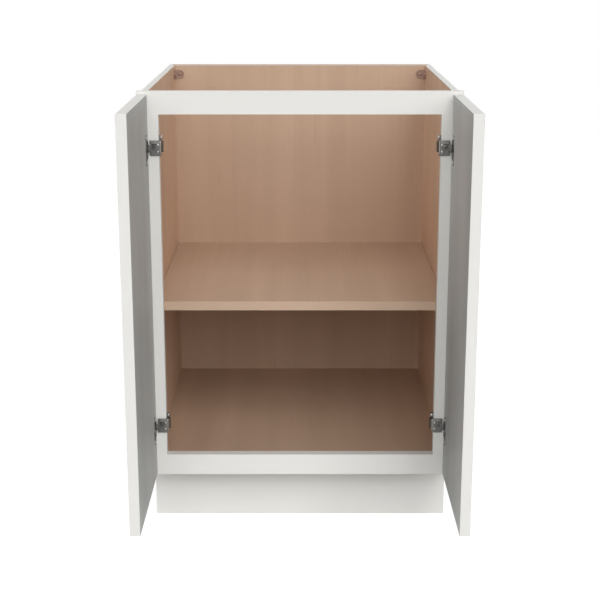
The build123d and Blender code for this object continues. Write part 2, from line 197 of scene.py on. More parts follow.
def stretched_place(tree, scale, offset=(0, 0, 0)):
    """The place on the piece, scaled along each axis."""
    coordinates = add_node(tree, "ShaderNodeTexCoord")
    mapping = add_node(tree, "ShaderNodeMapping")
    mapping.inputs["Scale"].default_value = scale
    mapping.inputs["Location"].default_value = offset
    feed(tree, mapping.inputs["Vector"], coordinates.outputs["Object"])
    return mapping.outputs["Vector"]


def noise(tree, place, detail, roughness=0.5, distortion=0.0):
    made = add_node(tree, "ShaderNodeTexNoise")
    made.inputs["Scale"].default_value = 1.0
    made.inputs["Detail"].default_value = detail
    made.inputs["Roughness"].default_value = roughness
    made.inputs["Distortion"].default_value = distortion
    feed(tree, made.inputs["Vector"], place)
    return made.outputs["Fac"]


def remap(tree, value, low, high, to_low=0.0, to_high=1.0):
    """A value taken from one range to another and kept inside it."""
    made = add_node(tree, "ShaderNodeMapRange")
    ends = {"From Min": low, "From Max": high, "To Min": to_low, "To Max": to_high}
    for socket, number in ends.items():
        made.inputs[socket].default_value = number
    feed(tree, made.inputs["Value"], value)
    return made.outputs["Result"]


def even_noise(tree, scale, detail):
    """Noise with one scale along every axis."""
    return noise(tree, stretched_place(tree, (scale, scale, scale)), detail)


def mix_colour(tree, factor, first, second):
    made = add_node(tree, "ShaderNodeMix", data_type="RGBA")
    feed(tree, made.inputs[0], factor)
    feed(tree, made.inputs[6], first)
    feed(tree, made.inputs[7], second)
    return made.outputs[2]


def cover(tree, shader, tone, gloss, height, strength, distance=0.0003):
    """Give a surface its colour, its roughness and its relief."""
    feed(tree, shader.inputs["Base Color"], tone)
    feed(tree, shader.inputs["Roughness"], gloss)
    relief = add_node(tree, "ShaderNodeBump")
    relief.inputs["Strength"].default_value = strength
    relief.inputs["Distance"].default_value = distance
    feed(tree, relief.inputs["Height"], height)
    feed(tree, shader.inputs["Normal"], relief.outputs["Normal"])


def split_up(tree, output="Object"):
    """X, Y and Z of the place on the piece, or of the direction that it faces: Normal."""
    coordinates = add_node(tree, "ShaderNodeTexCoord")
    split = add_node(tree, "ShaderNodeSeparateXYZ")
    feed(tree, split.inputs[0], coordinates.outputs[output])
    return split.outputs


def facing(tree, axis, sign):
    """1 where the surface faces along an axis, 0 elsewhere."""
    towards = compute(tree, "MULTIPLY", split_up(tree, "Normal")[axis], sign)
    return compute(tree, "GREATER_THAN", towards, 0.5)


def near_edges(tree, node_name, width):
    """1 along a board's edges, fading to 0 within a width of them."""
    low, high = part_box(node_name)
    place = split_up(tree)
    faces_near = 0.0
    for axis in range(3):
        from_middle = compute(tree, "SUBTRACT", place[axis], (low[axis] + high[axis]) / 2)
        half = (high[axis] - low[axis]) / 2
        near_face = remap(tree, compute(tree, "ABSOLUTE", from_middle), half - width, half)
        faces_near = compute(tree, "ADD", near_face, faces_near)
    return remap(tree, faces_near, 1.0, 2.0)


birch_pale = (0.600, 0.430, 0.316, 1)
birch_deep = (0.520, 0.366, 0.263, 1)
birch_fleck = (0.430, 0.294, 0.207, 1)
birch_roughness = 0.34
ring_count = 40.0


def grain_scale(grain, along, across):
    """Scales for a texture that runs along one axis: X, Y or Z."""
    return tuple(along if axis == grain else across for axis in "XYZ")


def birch_veneer(tree, grain, offset, lightness=1.0):
    """Colour, roughness and height of birch veneer whose grain runs along one axis."""
    pale, deep, fleck = [tuple(lightness * channel for channel in tone[:3]) + (1,)
                         for tone in (birch_pale, birch_deep, birch_fleck)]

    def streaks(along, across, detail, roughness=0.5, distortion=0.0):
        place = stretched_place(tree, grain_scale(grain, along, across), offset)
        return noise(tree, place, detail, roughness, distortion)

    bands = streaks(0.6, 17.0, 2.0)
    rings = compute(tree, "MULTIPLY", streaks(0.5, 6.0, 3.0, 0.5, 0.8), ring_count)
    figure = compute(tree, "SINE", rings)
    drift = streaks(2.5, 75.0, 2.0, 0.6)
    flecks = streaks(11.0, 120.0, 1.0)
    fibres = streaks(7.0, 620.0, 3.0, 0.6)
    pores = streaks(50.0, 1600.0, 1.0)
    tone = pale
    for texture, start, full, strength, towards in (
            (bands, 0.30, 0.70, 1.00, deep),
            (figure, -1.0, 1.0, 0.10, deep),
            (drift, 0.35, 0.70, 0.22, deep),
            (flecks, 0.68, 0.80, 0.30, fleck),
            (flecks, 0.32, 0.22, 0.30, pale),
            (fibres, 0.40, 0.75, 0.18, deep),
            (pores, 0.62, 0.76, 0.25, fleck)):
        tone = mix_colour(tree, remap(tree, texture, start, full, 0.0, strength), tone, towards)
    gloss = remap(tree, fibres, 0.3, 0.7, birch_roughness - 0.04, birch_roughness + 0.06)
    return tone, gloss, fibres


def clear_coat(shader):
    """A thin satin lacquer over the wood."""
    shader.inputs["Specular IOR Level"].default_value = 0.15
    shader.inputs["Coat Weight"].default_value = 0.08
    shader.inputs["Coat Roughness"].default_value = 0.25


ply_count = 9
ply_waver = 0.08


def bare_plies(tree, node_name, axis, wood):
    """The veneer's colour crossed by plies that lie one on another along the board's thickness."""
    low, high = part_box(node_name)
    pitch = (high[axis] - low[axis]) / ply_count
    depth = compute(tree, "SUBTRACT", split_up(tree)[axis], low[axis])
    waver = remap(tree, even_noise(tree, 30.0, 2.0), 0.3, 0.7, -ply_waver, ply_waver)
    count = compute(tree, "ADD", compute(tree, "MULTIPLY", depth, 1 / pitch), waver)
    position = compute(tree, "PINGPONG", count, 1.0)
    end_grain = even_noise(tree, 900.0, 2.0)
    tone = mix_colour(tree, remap(tree, position, 0.45, 0.55, 0.0, 0.45), wood, birch_fleck)
    return mix_colour(tree, remap(tree, end_grain, 0.4, 0.7, 0.0, 0.35), tone, birch_fleck)


paint_colour = (0.885, 0.876, 0.842, 1)
paint_shade = (0.865, 0.856, 0.820, 1)
paint_rubbed = (0.700, 0.690, 0.650, 1)
paint_roughness = 0.46
paint_specular = 0.12
rubbed_width = 0.0022


def sprayed_coat(tree, node_name):
    """Colour, roughness and height of satin paint: a faint mottle, orange peel, rubbed edges."""
    mottle = even_noise(tree, 3.5, 3.0)
    peel = even_noise(tree, 430.0, 2.0)
    handling = noise(tree, stretched_place(tree, (26.0, 26.0, 9.0)), 4.0, 0.65)
    rubbed = compute(tree, "MULTIPLY", near_edges(tree, node_name, rubbed_width),
                     remap(tree, handling, 0.50, 0.72, 0.0, 0.45))
    tone = mix_colour(tree, remap(tree, mottle, 0.3, 0.7), paint_colour, paint_shade)
    tone = mix_colour(tree, rubbed, tone, paint_rubbed)
    gloss = remap(tree, mottle, 0.3, 0.7, paint_roughness - 0.03, paint_roughness + 0.04)
    gloss = compute(tree, "ADD", gloss, remap(tree, handling, 0.45, 0.75, 0.0, 0.08))
    return tone, gloss, peel


# Painted light: the veneer inside the side panels is made lighter than the other birch.
side_veneer_painted_light = 1.28


def side_panel_finish(node_name, outward):
    material, tree, shader = new_surface(node_name + "_finish")
    white_tone, white_gloss, peel = sprayed_coat(tree, node_name)
    offset = (outward * 3.0, 0, 0)
    wood_tone, wood_gloss, fibres = birch_veneer(tree, "Z", offset, side_veneer_painted_light)
    plies = bare_plies(tree, node_name, 0, wood_tone)
    wood_tone = mix_colour(tree, facing(tree, "Y", 1), wood_tone, plies)
    painted = compute(tree, "MAXIMUM", facing(tree, "X", outward), facing(tree, "Z", 1))
    painted = compute(tree, "MAXIMUM", painted, facing(tree, "Y", -1))
    tone = mix_colour(tree, painted, wood_tone, white_tone)
    gloss = mix_value(tree, painted, wood_gloss, white_gloss)
    height = mix_value(tree, painted, fibres, peel)
    cover(tree, shader, tone, gloss, height, strength=0.08)
    shader.inputs["Specular IOR Level"].default_value = paint_specular
    return material


dress("side_panel_left", side_panel_finish("side_panel_left", -1))
dress("side_panel_right", side_panel_finish("side_panel_right", 1))


# ---- bottom panel, back panel and hanging rails ----
# The bottom sits in the side panels' grooves and the back in their rebates, both birch
# plywood; two solid birch rails behind the back take the screws into the wall.
joint_line_half = 0.0002
joint_line_fade = 0.0007
leaf_fade = 0.035


def leaf_joint(tree, tone, joint):
    """Where two leaves of veneer meet: a fine line, and a darker start of the right-hand leaf."""
    beyond = compute(tree, "SUBTRACT", split_up(tree)["X"], joint)
    right_leaf = compute(tree, "GREATER_THAN", beyond, 0.0)
    shade = compute(tree, "MULTIPLY", right_leaf, remap(tree, beyond, 0.0, leaf_fade, 0.34, 0.06))
    from_joint = compute(tree, "ABSOLUTE", beyond)
    line = remap(tree, from_joint, joint_line_half, joint_line_fade, 0.30, 0.0)
    return mix_colour(tree, line, mix_colour(tree, shade, tone, birch_deep), birch_fleck)


def birch_finish(node_name, grain, offset, ply_axis=None, edge_axes=(), joint=None, lightness=1.0):
    """Clear-coated birch; the plies lie along one axis and show where the edge axes face."""
    material, tree, shader = new_surface(node_name + "_finish")
    tone, gloss, fibres = birch_veneer(tree, grain, offset, lightness)
    if joint is not None:
        tone = leaf_joint(tree, tone, joint)
    if ply_axis is not None:
        plies = bare_plies(tree, node_name, ply_axis, tone)
        for axis in edge_axes:
            for sign in (-1, 1):
                tone = mix_colour(tree, facing(tree, axis, sign), tone, plies)
    cover(tree, shader, tone, gloss, fibres, strength=0.10)
    clear_coat(shader)
    return material


dress("bottom_panel", birch_finish("bottom_panel", "Y", (0, 0, 0), ply_axis=2, edge_axes="XY",
                                   joint=0.0198))
dress("back_panel", birch_finish("back_panel", "Z", (0.3, 0, 0.9), ply_axis=1, edge_axes="XZ",
                                 joint=-0.0135))
dress("hang_rail_top", birch_finish("hang_rail_top", "X", (0, 0.7, 0.3)))
dress("hang_rail_bottom", birch_finish("hang_rail_bottom", "X", (2.2, 0, 0.1)))


# ---- toe board ----
# A plywood board across the foot of the box, set back from the frame so that toes fit
# under the doors, and sprayed white.
# A dark grey-green that paints shade on the doors' inner faces.
door_inner_painted_shade = (0.464, 0.477, 0.469, 1)


def white_finish(node_name, shaded_face_sign=None):
    """Sprayed white paint; a door's inner face is painted darker and greyer, as painted shade."""
    material, tree, shader = new_surface(node_name + "_finish")
    tone, gloss, peel = sprayed_coat(tree, node_name)
    if shaded_face_sign is not None:
        # Painted shade on the inner face, darker along soft streaks.
        streaks = noise(tree, stretched_place(tree, (8.0, 8.0, 1.6)), 3.0)
        painted_shade_tone = mix_colour(tree, remap(tree, streaks, 0.3, 0.7, 0.75, 1.0), tone, door_inner_painted_shade)
        tone = mix_colour(tree, facing(tree, "X", shaded_face_sign), tone, painted_shade_tone)
    cover(tree, shader, tone, gloss, peel, strength=0.05)
    shader.inputs["Specular IOR Level"].default_value = paint_specular
    return material


dress("toe_board", white_finish("toe_board"))


# ---- face frame ----
# Two solid stiles with the rails doweled between them, glued to the front of the box
# and sprayed white all over; the birch dowels stay inside the joints.
for name in ("stile_left", "stile_right", "top_rail", "bottom_rail"):
    dress(name, white_finish(name))
dress("frame_dowels", birch_finish("frame_dowels", "X", (0.5, 0.2, 0)))


# ---- corner brackets ----
# Brown moulded plastic angles in the four top corners of the box, that take the screws
# of a worktop. Each leg ends round and has a raised rim; a screw holds each leg.
mm = 0.001
tolerance = 0.02 * mm
weld_distance = 0.001 * mm
sliver = 0.002 * mm
sheared_edge = radians(50)
smooth_up_to = radians(32)
both_sides = {"left": Matrix(), "right": Matrix.Scale(-1, 4, (1, 0, 0))}


def near(value, target):
    return abs(value - target) < tolerance


def flat_sheet(corners):
    """One flat face between its corners."""
    bm = bmesh.new()
    bm.faces.new([bm.verts.new(corner) for corner in corners])
    return bm


def chosen(parts, wanted):
    """The edges or faces whose middle passes a test."""
    picked = []
    for part in parts:
        middle = sum((vert.co for vert in part.verts), Vector()) / len(part.verts)
        if wanted(middle):
            picked.append(part)
    return picked


def corners_at(bm, wanted):
    return [vert for vert in bm.verts if wanted(vert.co)]


def moved_verts(drawn):
    return [part for part in drawn["geom"] if isinstance(part, bmesh.types.BMVert)]


def thicken(bm, step):
    """Turn a flat face into a plate by drawing it out."""
    drawn = bmesh.ops.extrude_face_region(bm, geom=bm.faces[:])
    bmesh.ops.translate(bm, vec=step, verts=moved_verts(drawn))
    bmesh.ops.recalc_face_normals(bm, faces=bm.faces)


def round_off(bm, parts, radius, segments, kind="EDGES"):
    bmesh.ops.bevel(bm, geom=parts, offset=radius, offset_type="OFFSET", affect=kind,
                    segments=segments, profile=0.5, material=-1, clamp_overlap=True)


def break_edges(bm, radius, segments=2):
    """Take the sharpness off every edge that a press or a mould leaves."""
    sharp = [edge for edge in bm.edges
             if len(edge.link_faces) == 2 and edge.calc_face_angle() > sheared_edge]
    round_off(bm, sharp, radius, segments)


def turned(profile, steps=32):
    """A solid of revolution: a profile of (radius, height) points spun about the Z axis."""
    bm = bmesh.new()
    points = [bm.verts.new((radius, 0, height)) for radius, height in profile]
    lines = [bm.edges.new(pair) for pair in zip(points, points[1:])]
    bmesh.ops.spin(bm, geom=points + lines, cent=(0, 0, 0), axis=(0, 0, 1), angle=radians(360),
                   steps=steps, use_merge=True)
    bmesh.ops.remove_doubles(bm, verts=bm.verts, dist=weld_distance)
    bmesh.ops.recalc_face_normals(bm, faces=bm.faces)
    return bm


def standing_on(seat, direction):
    """The place of a part that stands on a seat and points along a direction."""
    turn = Vector(direction).to_track_quat("Z", "Y").to_matrix().to_4x4()
    return Matrix.Translation(seat) @ turn


def add_part(bm, part, place):
    """Put a copy of a part into a piece; one that is mirrored keeps its faces outward."""
    copy = part.copy()
    bmesh.ops.transform(copy, matrix=place, verts=copy.verts)
    if place.determinant() < 0:
        bmesh.ops.reverse_faces(copy, faces=copy.faces)
    carried = bpy.data.meshes.new("carried")
    copy.to_mesh(carried)
    copy.free()
    bm.from_mesh(carried)
    bpy.data.meshes.remove(carried)


def set_in_place(bm, node_name, materials, body):
    """Make a piece of a finished mesh; it rides on a body and stands for a CAD node."""
    mesh = bpy.data.meshes.new(node_name + "_formed")
    bm.to_mesh(mesh)
    bm.free()
    mesh.polygons.foreach_set("use_smooth", [True] * len(mesh.polygons))
    mesh.set_sharp_from_angle(angle=smooth_up_to)
    for material in materials:
        mesh.materials.append(material)
    piece = bpy.data.objects.new(mesh.name, mesh)
    bpy.context.scene.collection.objects.link(piece)
    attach(piece, body)
    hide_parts(node_name)


bracket_low, bracket_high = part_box("corner_bracket_back_left")
front_bracket_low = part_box("corner_bracket_front_left")[0]
bracket_leg = bracket_high.x - bracket_low.x
bracket_height = bracket_high.z - bracket_low.z
bracket_middle = (bracket_low.z + bracket_high.z) / 2
bracket_wall = 2.4 * mm
bracket_rim = 1.5 * mm
bracket_recess = 0.5 * mm
bracket_fillet = 2.0 * mm
bracket_rounding = 0.98 * bracket_height / 2
bracket_face_area = 100 * mm * mm
moulded_edge = 0.2 * mm
boss_radius = 4.3 * mm
boss_draft = 0.3 * mm
boss_easing = 0.15 * mm
boss_top_radius = 3.8 * mm
square_on = 0.99
bracket_screw_reach = bracket_leg - bracket_height / 2


def bracket_shape():
    """One bracket, its corner at the origin and its legs along X and Y."""
    bottom = -bracket_height / 2
    bm = flat_sheet([(0, 0, bottom), (bracket_leg, 0, bottom), (bracket_leg, bracket_wall, bottom),
                     (bracket_wall, bracket_wall, bottom), (bracket_wall, bracket_leg, bottom),
                     (0, bracket_leg, bottom)])
    thicken(bm, (0, 0, bracket_height))
    inside = chosen(bm.edges, lambda c: near(c.x, bracket_wall) and near(c.y, bracket_wall))
    round_off(bm, inside, bracket_fillet, 4)
    ends = chosen(bm.edges, lambda c: near(abs(c.z), bracket_height / 2)
                  and (near(c.x, bracket_leg) or near(c.y, bracket_leg)))
    round_off(bm, ends, bracket_rounding, 10)
    panels = [face for face in bm.faces if max(face.normal.x, face.normal.y) > square_on
              and face.calc_area() > bracket_face_area]
    bmesh.ops.inset_individual(bm, faces=panels, thickness=bracket_rim, depth=-bracket_recess,
                               use_even_offset=True)
    break_edges(bm, moulded_edge)
    foot = bracket_wall - bracket_recess - bracket_recess
    boss = turned([(0, foot), (boss_radius, foot),
                   (boss_radius - boss_draft, bracket_wall - boss_easing),
                   (boss_top_radius, bracket_wall), (0, bracket_wall)])
    add_part(bm, boss, standing_on((bracket_screw_reach, 0, 0), (0, 1, 0)))
    add_part(bm, boss, standing_on((0, bracket_screw_reach, 0), (1, 0, 0)))
    return bm


plastic_brown = (0.350, 0.220, 0.165, 1)
plastic_dark = (0.300, 0.186, 0.138, 1)

brown_plastic, tree, shader = new_surface("brown_plastic")
flow = noise(tree, stretched_place(tree, (70.0, 70.0, 40.0)), 3.0, 0.5, 0.6)
stipple = even_noise(tree, 2600.0, 2.0)
tone = mix_colour(tree, remap(tree, flow, 0.3, 0.7), plastic_brown, plastic_dark)
gloss = remap(tree, flow, 0.3, 0.7, 0.42, 0.56)
cover(tree, shader, tone, gloss, stipple, strength=0.15, distance=0.0001)

bracket = bracket_shape()
bracket_corners = {"back": (bracket_high.y, -1), "front": (front_bracket_low.y, 1)}
for place, (corner_y, away) in bracket_corners.items():
    corner = Matrix.Translation((bracket_low.x, corner_y, bracket_middle))
    in_corner = corner @ Matrix.Diagonal((1, away, 1, 1))
    for side, across in both_sides.items():
        bm = bmesh.new()
        add_part(bm, bracket, across @ in_corner)
        set_in_place(bm, f"corner_bracket_{place}_{side}", [brown_plastic], "cabinet")


# ---- bracket screws ----
# Browned pan-head screws with a cross recess, two in each bracket: one into the side
# panel, and one into the rail of the frame or into the back.
def pulled_edges(bm, edges, step):
    """Draw out some edges by a step; returns the new ones."""
    verts = moved_verts(bmesh.ops.extrude_edge_only(bm, edges=edges))
    bmesh.ops.translate(bm, vec=step, verts=verts)
    new = set(verts)
    return [edge for edge in bm.edges if edge.verts[0] in new and edge.verts[1] in new]


head_flat_share = 0.66
head_rim_share = 0.35
recess_reach_share = 0.50
recess_half_share = 0.13
recess_depth_share = 0.75
recess_taper = 0.6
tip_share = 0.2


def cross_screw(head_radius, head_height, shank_radius, length):
    """A pan-head screw that points down from its seat at the origin."""
    flat_radius = head_flat_share * head_radius
    dome = []
    for angle in (0, 22, 45, 68, 90):
        rise = head_rim_share + (1 - head_rim_share) * sin(radians(angle))
        reach = flat_radius + (head_radius - flat_radius) * cos(radians(angle))
        dome.append((reach, head_height * rise))
    bm = turned([(0, -length), (tip_share * shank_radius, -length),
                 (shank_radius, -length + 2 * shank_radius),
                 (shank_radius, 0), (head_radius, 0)] + dome)
    rim = [edge for edge in bm.edges if edge.is_boundary]
    reach, half = recess_reach_share * head_radius, recess_half_share * head_radius
    quarter = [(reach, -half), (reach, half), (half, half)]
    outline = []
    for turn in range(4):
        quarter_turn = Matrix.Rotation(radians(90 * turn), 3, "Z")
        outline += [bm.verts.new(quarter_turn @ Vector((x, y, head_height))) for x, y in quarter]
    recess = [bm.edges.new((vert, outline[index - 1])) for index, vert in enumerate(outline)]
    bmesh.ops.triangle_fill(bm, use_beauty=True, use_dissolve=False, edges=rim + recess)
    recess_floor = pulled_edges(bm, recess, (0, 0, -recess_depth_share * head_height))
    floor_verts = list({vert for edge in recess_floor for vert in edge.verts})
    bmesh.ops.scale(bm, vec=(recess_taper, recess_taper, 1), verts=floor_verts)
    bmesh.ops.edgeloop_fill(bm, edges=recess_floor)
    bmesh.ops.recalc_face_normals(bm, faces=bm.faces)
    return bm


def metal_finish(name, colour, roughness, streak_scale):
    """Plated steel: cloudy plating, fine streaks from the tumbling drum and small scratches."""
    material, tree, shader = new_surface(name)
    cloud = even_noise(tree, 160.0, 3.0)
    streaks = noise(tree, stretched_place(tree, streak_scale), 2.0, 0.6)
    darker = tuple(0.72 * channel for channel in colour[:3]) + (1,)
    tone = mix_colour(tree, remap(tree, cloud, 0.3, 0.7), colour, darker)
    tone = mix_colour(tree, remap(tree, streaks, 0.55, 0.8, 0.0, 0.4), tone, darker)
    gloss = remap(tree, streaks, 0.3, 0.7, roughness - 0.06, roughness + 0.08)
    cover(tree, shader, tone, gloss, streaks, strength=0.08, distance=0.0001)
    shader.inputs["Metallic"].default_value = 1.0
    return material


tumbled = (2400.0, 2400.0, 2400.0)
browned_steel = metal_finish("browned_steel", (0.360, 0.250, 0.200, 1), 0.50, tumbled)

bracket_screw = cross_screw(head_radius=3.0 * mm, head_height=1.4 * mm,
                            shank_radius=1.5 * mm, length=9.0 * mm)
bm = bmesh.new()
for corner_y, away in bracket_corners.values():
    cross_seat = (bracket_low.x + bracket_screw_reach, corner_y + away * bracket_wall, bracket_middle)
    side_seat = (bracket_low.x + bracket_wall, corner_y + away * bracket_screw_reach, bracket_middle)
    for seat, outward in ((cross_seat, (0, away, 0)), (side_seat, (1, 0, 0))):
        for across in both_sides.values():
            add_part(bm, bracket_screw, across @ standing_on(seat, outward))
set_in_place(bm, "corner_bracket_screws", [browned_steel], "cabinet")


# ---- shelf, its edge band and its pins ----
# A plywood board that rests on four steel pins in the side panels, with a thin strip of
# solid birch glued along its front edge. The pins are planed flat under the shelf.
dress("shelf", birch_finish("shelf", "Y", (1.7, 0.4, 0), ply_axis=2, edge_axes="XY", joint=0.0135,
                            lightness=1.04))
dress("shelf_edge_band", birch_finish("shelf_edge_band", "X", (0.8, 0, 0.2), lightness=1.06))

polished = (3000.0, 3000.0, 3000.0)
bright_steel = metal_finish("bright_steel", (0.72, 0.71, 0.69, 1), 0.26, polished)

pins_low, pins_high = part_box("shelf_pins")
shelf_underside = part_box("shelf")[0].z
wall_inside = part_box("corner_bracket_back_left")[0].x
pin_radius = 2.5 * mm
pin_in_wall = wall_inside - pins_low.x
shelf_side_gap = 0.8 * mm
pin_under_shelf = 8.0 * mm
pin_length = pin_in_wall + shelf_side_gap + pin_under_shelf
chamfer = 0.4 * mm
pin_axis_height = pins_low.z + pin_radius
shelf_pin = turned([(0, 0), (pin_radius - chamfer, 0), (pin_radius, chamfer),
                    (pin_radius, pin_length - chamfer), (pin_radius - chamfer, pin_length),
                    (0, pin_length)])
pins = bmesh.new()
for pin_y in (pins_low.y + pin_radius, pins_high.y - pin_radius):
    add_part(pins, shelf_pin, standing_on((pins_low.x, pin_y, pin_axis_height), (1, 0, 0)))
for vert in pins.verts:
    if vert.co.x > wall_inside:
        vert.co.z = min(vert.co.z, shelf_underside)
bm = bmesh.new()
for across in both_sides.values():
    add_part(bm, pins, across)
set_in_place(bm, "shelf_pins", [bright_steel], "cabinet")


# ---- doors ----
# Two flat slabs with eased edges, sprayed white, each bored twice for a hinge cup.
# They stand open, square to the frame.
# Their inner faces are painted darker, as painted shade.
dress("left_door", white_finish("left_door", 1))
dress("right_door", white_finish("right_door", -1))


# ---- hinge wrap plates ----
# Pressed steel, folded around the stile's inner corner: a leaf on the front, and a longer
# one along the edge with a rounded foot and an ear. A boss on the ear leans to the front.
wrap_low, wrap_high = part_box("upper_left_hinge_wrap_plate")
arm_low, arm_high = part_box("upper_left_hinge_arm")
hinge_heights = {}
for level in ("upper", "lower"):
    low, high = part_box(f"{level}_left_hinge_arm")
    hinge_heights[level] = (low.z + high.z) / 2
hinge_middle = hinge_heights["upper"]
stile_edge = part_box("stile_left")[1].x
wrap_face = arm_high.x
wrap_front = wrap_low.y
wrap_back = wrap_high.y
fold_radius = 1.2 * mm
fold_rounding = 0.95 * fold_radius
leaf_wall = 1.0 * mm
leaf_half = 13.65 * mm
leaf_corner = 1.5 * mm
pressed_edge = 0.12 * mm
foot_reach = hinge_middle - wrap_low.z
foot_radius = (wrap_back - wrap_front - fold_radius) / 2
foot_height = foot_radius - foot_reach
ear_radius = 4.5 * mm
ear_easing = 0.5 * mm
ear_easing_middle = 0.15 * mm
ear_boss_length = 9.0 * mm
ear_height = wrap_high.z - hinge_middle - ear_radius
ear_line = frame_front + 10.5 * mm
ear_lean = radians(25)
out_of_ear = Vector((cos(ear_lean), -sin(ear_lean), 0))
ear_seat = Vector((wrap_face + 2.5 * mm, ear_line, ear_height))
side_leaf_middle = (frame_front + wrap_back) / 2


def arc(middle, radius, start, end, steps):
    """Points along an arc between two angles in degrees."""
    angles = [radians(start + (end - start) * step / steps) for step in range(steps + 1)]
    return [(middle[0] + radius * cos(angle), middle[1] + radius * sin(angle)) for angle in angles]


def cut_along(bm, point, normal):
    """Score all faces along a plane."""
    everything = bm.verts[:] + bm.edges[:] + bm.faces[:]
    bmesh.ops.bisect_plane(bm, geom=everything, dist=weld_distance, plane_co=point,
                           plane_no=normal)


def turn_over(bm, face, direction):
    """Make all the faces of a sheet agree, so that one of them looks along a direction."""
    bmesh.ops.recalc_face_normals(bm, faces=bm.faces)
    if face.normal.dot(Vector(direction)) < 0:
        bmesh.ops.reverse_faces(bm, faces=bm.faces)


def largest_face(bm):
    return max(bm.faces, key=lambda face: face.calc_area())


def give_wall(bm, wall):
    """Give pressed sheet its thickness, behind the face that was drawn."""
    bmesh.ops.solidify(bm, geom=bm.faces[:], thickness=wall)


def wrap_plate_shape():
    """The left-hand plate, with the hinge's middle at height zero."""
    fold_end = wrap_front + fold_radius
    outline = arc((wrap_back - foot_radius, foot_height), foot_radius, 180, 360, 16)
    outline += [(wrap_back, leaf_half)]
    outline += [(ear_line + ear_radius, leaf_half)]
    outline += arc((ear_line, ear_height), ear_radius, 0, 180, 14)
    outline += [(ear_line - ear_radius, leaf_half), (fold_end, leaf_half)]
    bm = flat_sheet([(wrap_face, y, z) for y, z in outline])
    top_corner = corners_at(bm, lambda c: near(c.y, wrap_back) and near(c.z, leaf_half))
    round_off(bm, top_corner, leaf_corner, 4, "VERTICES")
    front_edge = chosen(bm.edges, lambda c: near(c.y, fold_end) and c.z > foot_height)
    corner_edge = pulled_edges(bm, front_edge, (0, -fold_radius, 0))
    leaf_start = wrap_face - fold_radius
    leaf_edge = pulled_edges(bm, corner_edge, (-fold_radius, 0, 0))
    pulled_edges(bm, leaf_edge, (wrap_low.x - leaf_start, 0, 0))
    lower_edge = chosen(bm.edges, lambda c: near(c.y, wrap_front) and near(c.z, foot_height)
                        and c.x < leaf_start)
    pulled_edges(bm, lower_edge, (0, 0, -leaf_half - foot_height))
    fold = chosen(bm.edges, lambda c: near(c.x, wrap_face) and near(c.y, wrap_front))
    round_off(bm, fold, fold_rounding, 5)
    bmesh.ops.recalc_face_normals(bm, faces=bm.faces)
    give_wall(bm, leaf_wall)
    for vert in bm.verts:
        if near(vert.co.x, wrap_face - leaf_wall) and vert.co.y > frame_front:
            vert.co.x = stile_edge
    bmesh.ops.remove_doubles(bm, verts=bm.verts, dist=tolerance)
    break_edges(bm, pressed_edge)
    bmesh.ops.remove_doubles(bm, verts=bm.verts, dist=weld_distance)
    add_part(bm, ear_boss(), Matrix())
    return bm


def ear_boss():
    """A round boss that leans towards the front and ends inside the leaf's thickness."""
    boss = turned([(0, -ear_boss_length), (ear_radius, -ear_boss_length),
                   (ear_radius, -ear_easing), (ear_radius - ear_easing_middle, -ear_easing_middle),
                   (ear_radius - ear_easing, 0), (0, 0)])
    bm = bmesh.new()
    add_part(bm, boss, standing_on(ear_seat, out_of_ear))
    inside_leaf = wrap_face - leaf_wall / 2
    for vert in bm.verts:
        if vert.co.x < inside_leaf:
            vert.co += out_of_ear * ((inside_leaf - vert.co.x) / out_of_ear.x)
    return bm


def on_each_hinge(part, kind, materials, on_door):
    """Copy a part made for a left-hand hinge to the four hinges."""
    for level, height in hinge_heights.items():
        for side, across in both_sides.items():
            bm = bmesh.new()
            add_part(bm, part, across @ Matrix.Translation((0, 0, height)))
            body = f"{side}_door" if on_door else "cabinet"
            set_in_place(bm, f"{level}_{side}_hinge_{kind}", materials, body)


brushed = (2400.0, 2400.0, 350.0)
dark_steel = metal_finish("dark_steel", (0.190, 0.188, 0.180, 1), 0.52, brushed)
on_each_hinge(wrap_plate_shape(), "wrap_plate", [dark_steel], False)


# ---- hinge adjusters ----
# A pale slide with a rounded foot lies on each wrap plate, beside the opening. It carries
# a small dark cam housing, whose face is sunk around its screw. Its near-black brown is
# partly its own colour and partly painted shade beside the slide.
adjuster_low, adjuster_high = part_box("upper_left_hinge_adjuster")
slide_radius = (adjuster_high.y - adjuster_low.y) / 2
slide_wall = 2.0 * mm
slide_face = wrap_face + slide_wall
slide_foot = adjuster_low.z - hinge_middle + slide_radius
slide_margin = 0.8 * mm
slide_top = leaf_half - slide_margin
slide_corner = 1.5 * mm
slide_edge = 0.25 * mm
housing_half_depth = 6.5 * mm
housing_bottom = -8.5 * mm
housing_top = adjuster_high.z - hinge_middle
housing_corner = 4.0 * mm
housing_edge = 0.7 * mm
housing_rim = 1.1 * mm
housing_slope = 0.3 * mm
housing_recess = 0.35 * mm


